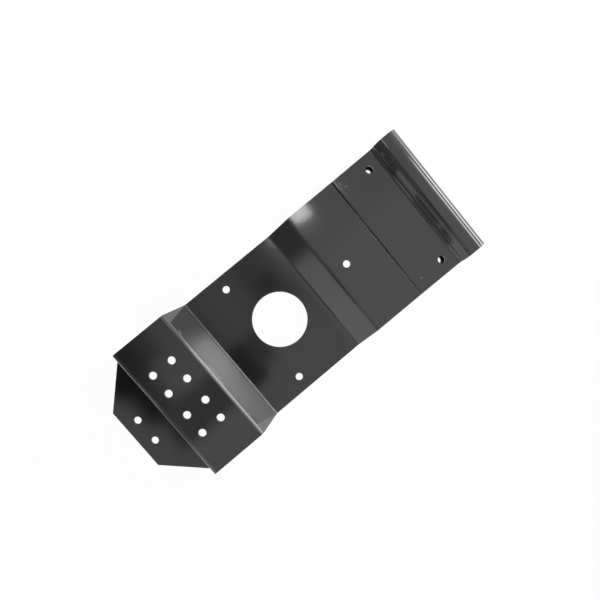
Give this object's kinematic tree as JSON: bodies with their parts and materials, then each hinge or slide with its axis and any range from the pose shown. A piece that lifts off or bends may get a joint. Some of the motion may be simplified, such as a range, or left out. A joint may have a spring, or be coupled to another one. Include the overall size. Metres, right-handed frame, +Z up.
{
  "type": "license plate light bracket",
  "caption": "Folded sheet steel bracket with a raised plate of screw holes, a large round lamp hole, a low ramp and an end rolled into a clamping eye.",
  "frame": {"origin": "middle of the bracket's length and width, on the plane that its tab and lamp plate stand on", "axes": "+X along the strip from the tab to the rolled eye, +Y across the strip, +Z up, the side that the picture shows"},
  "size_m": [0.3792, 0.138, 0.038],
  "materials": {
    "black_paint": "gloss black paint"
  },
  "bodies": {
    "root": {"bracket": "black_paint"}
  },
  "joints": []
}
